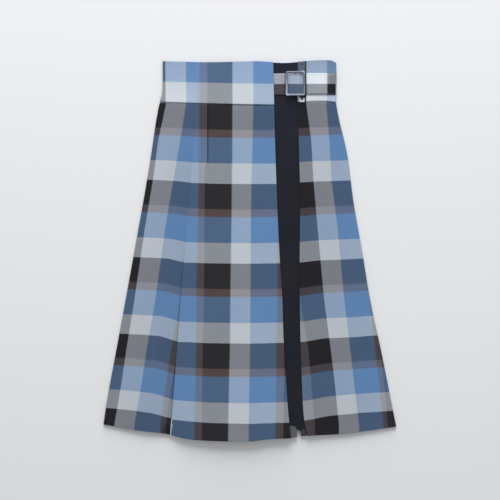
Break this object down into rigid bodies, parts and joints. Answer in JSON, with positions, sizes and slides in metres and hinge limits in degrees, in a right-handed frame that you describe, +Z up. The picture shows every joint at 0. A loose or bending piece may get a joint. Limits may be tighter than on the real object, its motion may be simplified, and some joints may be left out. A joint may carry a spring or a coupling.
{
  "type": "skirt",
  "caption": "Checked A-line skirt laid flat, with a waistband, princess seam, dark pleat underlay at one side and a buckled strap.",
  "frame": {"origin": "on the surface that the skirt lies on, under the middle of its bounding box", "axes": "+Z up from the surface through the back to the front, +Y from the hem to the waist, +X to the side with the buckle"},
  "size_m": [0.5868, 0.7618, 0.017],
  "materials": {
    "check_cloth": "matt twill in a blue, white, black and brown check",
    "dark_cloth": "matt plain weave",
    "buckle_metal": "satin nickel"
  },
  "bodies": {
    "root": {"back_panel": "check_cloth", "back_waistband": "check_cloth", "front_side_gore": "check_cloth", "front_centre_gore": "check_cloth", "front_right_gore": "check_cloth", "front_side_waistband": "check_cloth", "front_centre_waistband": "check_cloth", "front_right_waistband": "check_cloth", "pleat_underlay": "dark_cloth", "pleat_return_centre": "check_cloth", "pleat_return_right": "check_cloth", "strap": "check_cloth", "belt_loop": "check_cloth", "buckle": "buckle_metal"}
  },
  "joints": []
}
